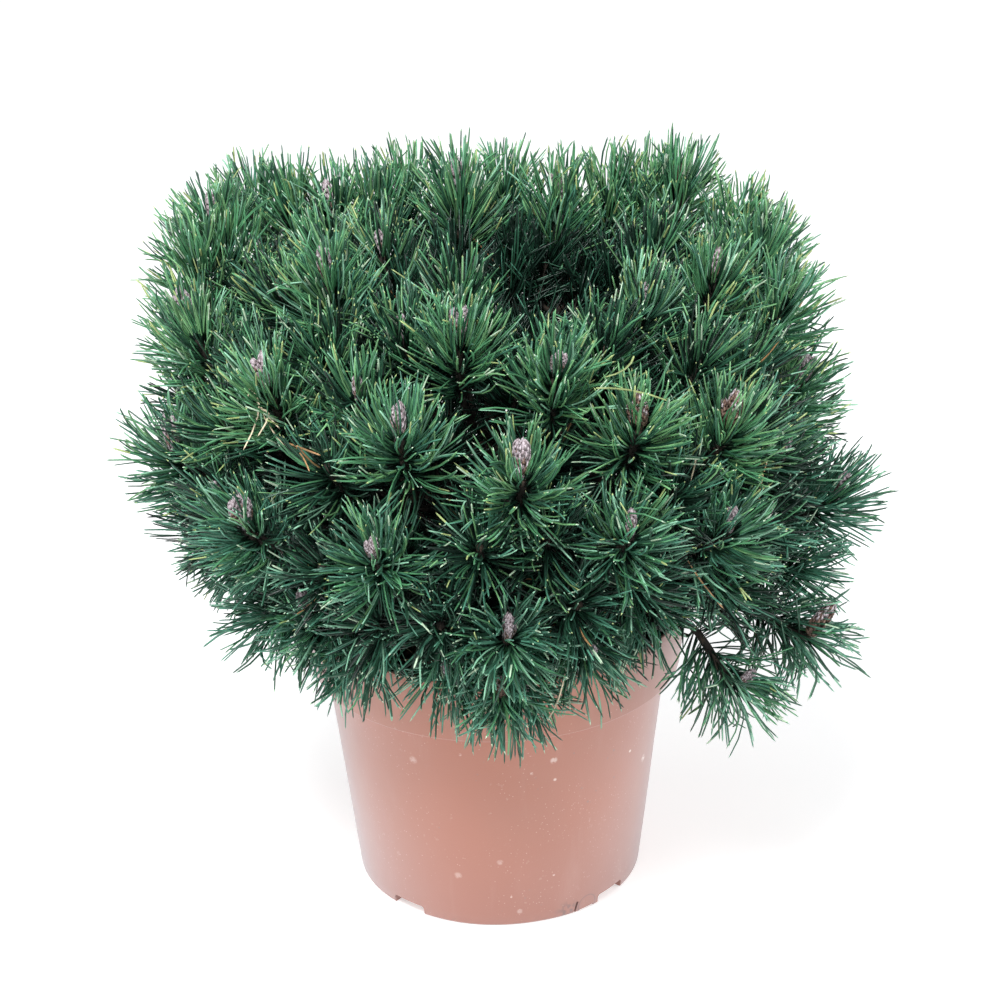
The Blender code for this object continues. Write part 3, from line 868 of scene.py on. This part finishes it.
def grow(twigs, boughs):
    """Make the boughs, stems and twigs. Returns the shoots, and the leading bud of each solid mass."""
    leaders = {"foliage_centre": CENTRE_BUD}
    stems = {"foliage_centre": stem_path(trunk_centre(TRUNK_TOP), UP, Vector(), CENTRE_BUD)}
    for order, (name, carried) in enumerate(CROWN.items()):
        buds = list(carried.values())
        path, ending = bough_path(LOWEST_BOUGH + order * BOUGH_SPACING, buds)
        radii = np.linspace(BOUGH_RADIUS, BOUGH_TIP_RADIUS, len(path))
        tube(boughs, *resampled(path, radii, BOUGH_FINE_SPACING), 14, relief=0.0007)
        for part, bud, stem in zip(carried, buds, fork(path, ending, buds)):
            leaders[f"foliage_{name}_{part}"] = bud
            stems[f"foliage_{name}_{part}"] = stem

    shoots = []
    for mass, stem in stems.items():
        base, bud, along = shoot_at(*leaders[mass])
        smooth_stem = [stem[0], *bent(stem[1], (stem[1] - stem[0]).normalized(), base, along, 8)]
        tube(twigs, smooth_stem, [STEM_RADIUS] * len(smooth_stem), 8, relief=0.0003)
        shoots.append(shoot_of(mass, OUTER, base, bud, along))
    lead_buds = {mass: shoot_at(*leader)[1] for mass, leader in leaders.items()}
    places = {RIM: RIM_BUDS, FILLING: FILLING_BUDS, LINING: LINING_BUDS}
    for kind in (RIM, FILLING, BETWEEN, MIDDLE, INNER, LINING):
        taken = [shoot.bud for shoot in shoots] if kind is BETWEEN else []
        for place in places.get(kind) or side_buds(taken, kind):
            base, bud, along = shoot_at(*place, kind.length, kind.droop)
            mass = min(stems, key=lambda name: (lead_buds[name] - bud).length)
            _, before, leaving = stems[mass][:3]
            ending = (leaving - before).normalized()
            new = shoot_of(mass, kind, base, bud, along)
            if in_opening(new.foot, OPENING_EDGE):
                continue
            twig = bent(before.lerp(leaving, draw.uniform(0.2, 1.0)), ending, base, along, 6)
            if in_pot((*twig, bud), TWIG_APART).any():
                continue
            tube(twigs, twig, [TWIG_RADIUS] * len(twig), 7, relief=0.0002)
            shoots.append(new)
    return shoots, leaders


# Needles


def reached(roots, curve, lengths, share):
    """Points at a share of the length of needles on cubic curves."""
    leaving, bending, twist = curve
    return roots + lengths[:, None] * (leaving * share + bending * share**2 + twist * share**3)


def needles(joined, roots, curve, lengths, widths, rings, tones):
    """Add needles on cubic curves, flat on one side, three-sided and closed.

    The tones have a row for each needle, with one for each stretch between rings and one for the tip.
    """
    leaving, bending, twist = curve
    count = len(roots)
    shares = np.array(rings)[None, :, None]
    centres = np.stack([reached(roots, curve, lengths, share) for share in rings], axis=1)
    tangents = unit(leaving[:, None] + 2 * bending[:, None] * shares + 3 * twist[:, None] * shares**2)
    aside = unit(np.cross(tangents, unit(draw.normal(size=(count, 3)))[:, None]))
    above = np.cross(tangents, aside)
    breadth = widths[:, None, None] * np.array([NEEDLE_WIDTHS[share] for share in rings])[None, :, None]
    depth = breadth * NEEDLE_THICKNESS / NEEDLE_WIDTH
    flat = centres - above * depth / 3
    corners = [flat - aside * breadth / 2, flat + aside * breadth / 2, centres + above * depth * 2 / 3]
    tips = reached(roots, curve, lengths, 1.0)
    points = np.concatenate([np.stack(corners, 2).reshape(count, -1, 3), tips[:, None]], 1)
    size = points.shape[1]
    starts = (np.arange(count) * size)[:, None, None]
    last = size - 4
    sides = [(0, 1), (1, 2), (2, 0)]
    quads = [[ring + a, ring + b, ring + 3 + b, ring + 3 + a] for ring in range(0, last, 3) for a, b in sides]
    ends = [[last + a, last + b, size - 1] for a, b in sides]
    joined.add(points.reshape(-1, 3), [
        (starts + np.array(quads)).reshape(-1, 4),
        (starts + np.array(ends)).reshape(-1, 3),
        (starts + np.array([[2, 1, 0]])).reshape(-1, 3),
    ], [np.repeat(tones[:, :-1], 3), np.repeat(tones[:, -1], 3), tones[:, 0]])


# Share of each tone in a spray, by the sprays' height: the crown's foot, its middle and its top. The darker
# mix at the foot is partly the needles' own tone and partly painted shade of the low crown
FOOT_TONES = {"deep": 0.43, "blue": 0.41, "green": 0.07, "mint": 0.09}
MIDDLE_TONES = {"deep": 0.27, "blue": 0.26, "green": 0.36, "mint": 0.11}
TOP_TONES = {"deep": 0.22, "green": 0.42, "fresh": 0.26, "mint": 0.10}
# Painted shade: needles inside the crown take these dark tones in place of the shade that falls there
INSIDE_SHADE_TONES = {"shadow": 0.62, "deep": 0.33, "blue": 0.047, "tan": 0.003}
# The first stretch of each needle is darker: partly the sheath's own darker colour, partly painted shade near
# the shoot
BASE_SHADE_TONES = {"shadow": 0.45, "deep": 0.55}
TIP_TONES_LOW = {"mint": 0.50, "pale": 0.35, "blue": 0.15}
TIP_TONES_HIGH = {"yellow": 0.40, "pale": 0.35, "fresh": 0.25}
LESSER_SHADE = (2.4, 0.5)  # weight of the painted shade tones in the lesser sprays, at the crown's foot and top
TIPPED = (0.50, 0.14)  # share of the needles with a tip of its own tone, and share where it is longer
FOOT_HEIGHT = 0.225
MIDDLE_HEIGHT = 0.31
TOP_TONE_HEIGHT = 0.41
TOP_ZONE = 0.43


def dealt(mixes, shares, count):
    """Deal out tones for a number of needles from weighted mixes."""
    weights = np.zeros(len(TONES))
    for mix, share in zip(mixes, shares):
        for name, weight in mix.items():
            weights[TONE[name]] += weight * share
    return draw.choice(len(TONES), size=count, p=weights / weights.sum())


def dress(joined, shoot):
    """The needle pairs of one shoot."""
    kind = shoot.kind
    count = kind.pairs
    low = 1.0 - ramp(shoot.bud.z, FOOT_HEIGHT, MIDDLE_HEIGHT)
    high = ramp(shoot.bud.z, TOP_TONE_HEIGHT, TOP_HEIGHT)
    index = np.arange(count)
    share = np.clip(1.0 - (index + draw.uniform(-0.5, 0.5, count)) / count, 0.0, 1.0)
    centres, along = core(shoot, between(NEEDLE_SPAN, share))
    side = unit(np.cross(along, np.array(shoot.along.orthogonal())))
    other = np.cross(along, side)
    turn = np.radians(draw.uniform(0, 360) + index * GOLDEN_TURN + draw.normal(0, 16, count))
    outward = side * np.cos(turn)[:, None] + other * np.sin(turn)[:, None]
    tilts = [tilt - less * high for tilt, less in zip(NEEDLE_TILT, TILT_LESS_ABOVE)]
    tilt = np.radians(between(tilts, share**1.3) + draw.normal(0, 8 + 6 * low, count))
    roots = centres + outward * ROOT_REACH
    middle = along * np.cos(tilt)[:, None] + outward * np.sin(tilt)[:, None]
    across = unit(np.cross(middle, draw.normal(size=(count, 3))))
    curled = draw.random((count, 1)) < between(CURLED, low)
    upward = draw.normal(between(UPWARD_BEND, low), 0.09, (count, 1))
    shared = along * upward + draw.normal(0, 0.10 + 0.08 * low, (count, 3))
    shared += curled * draw.normal(0, 0.40, (count, 3))
    shared[:, 2] += 0.02 - 0.20 * low
    twist = draw.normal(0, 0.09 + 0.08 * low, (count, 3)) + curled * draw.normal(0, 0.30, (count, 3))
    up = ramp(ramp(shoot.bud.z, MIDDLE_HEIGHT, TOP_TONE_HEIGHT) + draw.normal(0, 0.15))
    mixes = ((1 - up) ** 2, up**2, 2 * up * (1 - up))
    for pair_side in (-1.0, 1.0):
        spread = across * (pair_side * PAIR_SPREAD * draw.uniform(0.3, 1.7, count))[:, None]
        leaving = unit(middle + spread)
        bending = shared - spread * 0.55 + draw.normal(0, 0.035, (count, 3))
        bending -= leaving * (bending * leaving).sum(1, keepdims=True)
        lengths = kind.needle * (1.0 - 0.10 * share) * draw.normal(0.97, 0.08, count).clip(0.66, 1.10)
        lengths /= np.maximum(np.linalg.norm(leaving + bending + twist, axis=1), 1.0)
        widths = NEEDLE_WIDTH * draw.uniform(0.80, 1.12, count)
        curve = (leaving, bending, twist)
        points = np.stack([reached(roots, curve, lengths, part) for part in CHECKED_PARTS])
        kept = ~(in_pot(points, NEEDLE_APART) | in_opening(points)).any(axis=0)
        # Sprays inside the crown are all in the painted shade tones
        if kind.name == "inside":
            tones = np.repeat(dealt((INSIDE_SHADE_TONES,), (1,), count)[:, None], len(kind.rings), axis=1)
        else:
            # Painted shade: lesser sprays take more of the inside shade tones towards the crown's foot, and
            # every spray's mix darkens towards the foot
            shade = between(LESSER_SHADE, up) * (kind is BETWEEN)
            tone = dealt((FOOT_TONES, TOP_TONES, MIDDLE_TONES, INSIDE_SHADE_TONES), (*mixes, shade), count)
            tip = dealt((TIP_TONES_LOW, TIP_TONES_HIGH), (1 - up, up), count)
            tip = np.where(draw.random(count) < TIPPED[0], tip, tone)
            # The first stretch of each needle takes the painted shade of its foot
            tones = np.stack([dealt((BASE_SHADE_TONES,), (1,), count), tone, tone, tone, tip], axis=1)
            tones[:, 3] = np.where(draw.random(count) < TIPPED[1] * (1 + up), tip, tone)
        if kept.any():
            curve = [item[kept] for item in curve]
            needles(joined, roots[kept], curve, lengths[kept], widths[kept], kind.rings, tones[kept])


def zone(leader):
    """The part of the crown that a mass belongs to, by its leading bud."""
    bearing, height, _ = leader
    if height > TOP_ZONE or leader is CENTRE_BUD:
        return "top"
    if abs(bearing) > 135:
        return "back"
    if abs(bearing) < 45:
        return "front"
    return "right" if bearing > 0 else "left"


# Buds

BUD_LENGTH = (0.018, 0.031)
BUD_GIRTH = (0.145, 0.170)  # radius of a bud over its length
BUD_SHAPE = ((0.0, 0.70), (0.12, 0.94), (0.45, 1.0), (0.72, 0.86), (0.90, 0.46), (1.0, 0.06))
BUD_SCALES = 46  # on a large bud
SMALL_BUD = (0.018, 0.0032, 26, 0.3)  # length, radius, scales and brown share
SIDE_BUDS = (0.22, 0.28, 0.28, 0.22)  # chances of none, one, two and three beside a large bud
BROWN_BUDS = 0.18  # share of the buds that have lost their resin


def bud(joined, foot, along, length, radius, scales, brown):
    """A pointed bud wrapped in scales, brown below and grey with resin above."""
    shares, shape = zip(*BUD_SHAPE)
    places = [foot + along * length * share for share in shares]
    tube(joined, places, radius * np.array(shape), 8, surface=int(brown > 0.5))
    side = along.orthogonal().normalized()
    other = along.cross(side)
    for index in range(scales):
        share = 0.02 + 0.84 * index / scales
        angle = math.radians(index * GOLDEN_TURN)
        outward = side * math.cos(angle) + other * math.sin(angle)
        across = along.cross(outward)
        wide = radius * np.interp(share, shares, shape)
        root = foot + along * length * share
        size = radius * (0.84 - 0.34 * share)
        point_share = min(share + size * 2.2 / length, 1.0)
        end = radius * (np.interp(point_share, shares, shape) + draw.uniform(0.06, 0.22))
        points = np.array((
            (wide * 0.94, -size * 0.50, 0.0),
            (wide * 0.94, size * 0.50, 0.0),
            (wide * 1.06, size * 0.40, size * 1.1),
            (wide * 1.06, -size * 0.40, size * 1.1),
            (end, 0.0, size * 2.3),
            (wide * 0.80, 0.0, size * 0.6),
        )) @ np.array((outward, across, along)) + np.array(root)
        faces = [[[0, 1, 2, 3]], [[3, 2, 4], [1, 0, 5], [2, 1, 5], [4, 2, 5], [3, 4, 5], [0, 3, 5]]]
        joined.add(points, faces, [int(share + draw.normal(0, 0.20) <= brown)] * 2)


def bud_group(joined, shoot):
    """The large bud at the end of a shoot and the smaller ones that rise beside it."""
    length = draw.uniform(*BUD_LENGTH)
    radius = length * draw.uniform(*BUD_GIRTH)
    brown = 0.62 if draw.random() < BROWN_BUDS else 0.20
    axis = (shoot.upright + Vector(draw.normal(0, 0.07, 3))).normalized()
    foot = shoot.foot
    bud(joined, foot, axis, length, radius, BUD_SCALES, brown)
    side = axis.orthogonal().normalized()
    first = draw.uniform(0, 360)
    for index in range(draw.choice(len(SIDE_BUDS), p=SIDE_BUDS)):
        outward = Matrix.Rotation(math.radians(first + index * 120.0), 3, axis) @ side
        lean = (axis + outward * draw.uniform(0.04, 0.17)).normalized()
        start = foot + axis * length * draw.uniform(0.0, 0.28) + outward * radius * 0.85
        size = draw.uniform(0.60, 0.80)
        bud(joined, start, lean, length * size, radius * 0.72, round(BUD_SCALES * 0.7), brown)


# Dead needles and litter


# Dead needles that hang in the crown: both ends, as bearing, height and reach, how much they curl, their
# number and tone
DEAD_NEEDLES = (
    ((-51, 0.410, 0.190), (-46, 0.397, 0.196), 0.50, 3, "straw"),
    ((-47, 0.400, 0.192), (-41, 0.392, 0.198), 0.55, 3, "straw"),
    ((-40, 0.385, 0.192), (-30, 0.381, 0.202), 0.05, 2, "tan"),
    ((35, 0.309, 0.206), (41, 0.268, 0.210), 0.08, 1, "tan"),
    ((35, 0.364, 0.208), (37, 0.378, 0.206), 0.10, 1, "straw"),
    ((13.5, 0.236, 0.181), (11.5, 0.205, 0.183), 0.12, 1, "straw"),
    ((19, 0.440, 0.198), (29, 0.437, 0.200), 0.10, 2, "yellow"),
)
LITTER_NEEDLES = 150
LITTER_CHIPS = 260
LITTER_REACH = 0.118
CHIP_SIZES = ((0.004, 0.011), (0.003, 0.007), (0.0015, 0.003))  # least and most of each side


def dead_needles(joined):
    for start, end, curl, count, tone in DEAD_NEEDLES:
        first = np.array(placed(*start)) + draw.normal(0, 0.004, (count, 3)) * (count > 1)
        last = np.array(placed(*end)) + draw.normal(0, 0.006, (count, 3)) * (count > 1)
        lengths = np.linalg.norm(last - first, axis=1)
        curve = (unit(last - first), draw.normal(0, curl, (count, 3)), draw.normal(0, curl, (count, 3)))
        lengths /= np.maximum(np.linalg.norm(sum(curve), axis=1), 1.0)
        tones = np.full((count, len(FULL_RINGS)), TONE[tone])
        needles(joined, first, curve, lengths, np.full(count, DEAD_WIDTH), FULL_RINGS, tones)


def on_soil(count):
    """Random points just above the compost."""
    reach = LITTER_REACH * np.sqrt(draw.random(count))
    angle = draw.uniform(0, 2 * math.pi, count)
    drop = SOIL_EDGE_DROP * np.clip((reach - 0.002) / LITTER_REACH, 0.0, 1.0)
    return np.stack([reach * np.cos(angle), reach * np.sin(angle), SOIL_LEVEL + 0.0012 - drop], axis=1)


def litter(joined):
    """Dead needles and bark chips lying on the compost."""
    roots = on_soil(LITTER_NEEDLES)
    turn = draw.uniform(0, 2 * math.pi, LITTER_NEEDLES)
    level = np.stack([np.cos(turn), np.sin(turn), draw.uniform(0.0, 0.10, LITTER_NEEDLES)], axis=1)
    lengths = draw.uniform(0.018, 0.040, LITTER_NEEDLES)
    kept = np.linalg.norm((roots + level * lengths[:, None])[:, :2], axis=1) < LITTER_REACH
    count = kept.sum()
    bend = draw.normal(0, 0.08, (count, 3)) * (1, 1, 0)
    tones = np.repeat(draw.choice(2, size=count, p=(0.7, 0.3))[:, None], len(FULL_RINGS), axis=1)
    curve = (unit(level[kept]), bend, bend * 0.5)
    needles(joined, roots[kept], curve, lengths[kept], np.full(count, FALLEN_WIDTH), FULL_RINGS, tones)
    corners = np.array([[x, y, z] for z in (-1, 1) for y in (-1, 1) for x in (-1, 1)]) * 0.5
    faces = np.array([[0, 2, 3, 1], [4, 5, 7, 6], [0, 1, 5, 4], [2, 6, 7, 3], [0, 4, 6, 2], [1, 3, 7, 5]])
    for place in on_soil(LITTER_CHIPS):
        turned = Matrix.Rotation(draw.uniform(0, 6.28), 3, "Z") @ Matrix.Rotation(draw.normal(0, 0.3), 3, "X")
        size = [draw.uniform(*span) for span in CHIP_SIZES]
        rough = corners * draw.uniform(0.7, 1.1, (8, 3)) * size
        joined.add(rough @ np.array(turned).T + place, [faces], [2 + draw.integers(2)])


def main():
    bark = pine_bark("pine_bark", (0.030, 0.020, 0.015), (0.120, 0.082, 0.060))
    # Painted shade: the twigs' dark bark is darkened further, to stand in for the shade inside the crown
    twig_bark = pine_bark("twig_bark", (0.014, 0.010, 0.007), (0.050, 0.034, 0.023))
    pot()
    root_ball()
    trunk(bark)

    twigs = Joined()
    boughs = Joined()
    shoots, leaders = grow(twigs, boughs)
    masses = sorted(leaders)
    bough_nodes = [f"bough_{name}" for name in CROWN]
    declare(boughs.piece("boughs_bark"), bark, "pine_bark", *bough_nodes)

    surfaces = [needle_surface(f"needles_{name}", colour) for name, colour in TONES.items()]
    buds = Joined()
    zones = {}
    for shoot in shoots:
        dress(zones.setdefault((zone(leaders[shoot.mass]), shoot.kind.name), Joined()), shoot)
        points, _ = core(shoot, np.linspace(0.0, 1.0, CORE_STEPS))
        shape = np.interp(np.linspace(0, 1, CORE_STEPS), np.linspace(0, 1, len(SHOOT_RADII)), SHOOT_RADII)
        tube(twigs, points, shape * (1.0 if shoot.kind is OUTER else LESSER_GIRTH), 8, relief=0.0004)
        if shoot.kind is OUTER:
            bud_group(buds, shoot)
        elif shoot.kind in (RIM, BETWEEN) and draw.random() < SMALL_BUDS:
            bud(buds, shoot.foot, shoot.upright, *SMALL_BUD)
    declare(twigs.piece("twigs"), twig_bark, "pine_bark", *masses)
    for (name, depth), joined in zones.items():
        nodes = [mass for mass in masses if zone(leaders[mass]) == name]
        declare(joined.piece(f"needles_{name}_{depth}"), surfaces, "pine_needles", *nodes)
    dead = Joined()
    dead_needles(dead)
    declare(dead.piece("needles_dead"), surfaces, "pine_needles", *masses)
    bud_surfaces = [
        scale_surface("bud_grey", (0.260, 0.200, 0.215), (0.530, 0.465, 0.500)),
        scale_surface("bud_brown", (0.070, 0.038, 0.029), (0.240, 0.150, 0.112)),
    ]
    declare(buds.piece("buds"), bud_surfaces, "pine_bark", *masses)
    litter_surfaces = [
        needle_surface("litter_tan", TONES["tan"]),
        needle_surface("litter_straw", TONES["straw"]),
        pine_bark("chip_dark", (0.014, 0.009, 0.007), (0.060, 0.035, 0.024)),
        pine_bark("chip_red", (0.060, 0.024, 0.013), (0.240, 0.098, 0.050)),
    ]
    fallen = Joined()
    litter(fallen)
    declare(fallen.piece("litter"), litter_surfaces, "bark_compost", "root_ball")


# Studio


def camera():
    data = bpy.data.cameras.new("camera")
    data.lens = CAMERA_LENS
    data.sensor_width = 36.0
    data.shift_x, data.shift_y = CAMERA_SHIFT
    made = added("camera", data)
    away = direction(0.0, CAMERA_ELEVATION)
    look = (-away).to_track_quat("-Z", "Y").to_matrix()
    roll = Matrix.Rotation(math.radians(CAMERA_ROLL), 3, "Z")
    made.matrix_world = Matrix.Translation(AIM + away * CAMERA_DISTANCE) @ (look @ roll).to_4x4()
    bpy.context.scene.camera = made


# Name, place, size and power of each light
LIGHTS = (
    ("key_light", (-0.5, -1.3, 2.5), 1.0, 86.0),
    ("left_light", (-2.4, -0.5, 1.1), 1.6, 17.0),
    ("right_light", (2.4, -0.5, 1.1), 1.6, 37.0),
)


def softbox(name, place, size, power):
    data = bpy.data.lights.new(name, "AREA")
    data.shape = "SQUARE"
    data.size = size
    data.energy = power
    made = added(name, data)
    made.location = place
    made.rotation_euler = (AIM - Vector(place)).to_track_quat("-Z", "Y").to_euler()


def studio():
    bpy.ops.mesh.primitive_plane_add(size=16.0, location=(0, 0, -0.0005))
    floor = bpy.context.object
    floor.name = "floor"
    lit = {"Emission_Color": (1.0, 1.0, 1.0, 1.0), "Emission_Strength": 0.50}
    floor.data.materials.append(Surface("floor_paper", (0.70, 0.70, 0.70), 0.9, **lit).material)
    world = bpy.data.worlds.new("studio")
    bpy.context.scene.world = world
    world.use_nodes = True
    background = world.node_tree.nodes["Background"].inputs
    background["Color"].default_value = (0.94, 0.97, 1.0, 1.0)
    background["Strength"].default_value = 0.55
    for light in LIGHTS:
        softbox(*light)
    camera()
    bpy.context.scene.view_settings.view_transform = "Standard"


main()
studio()
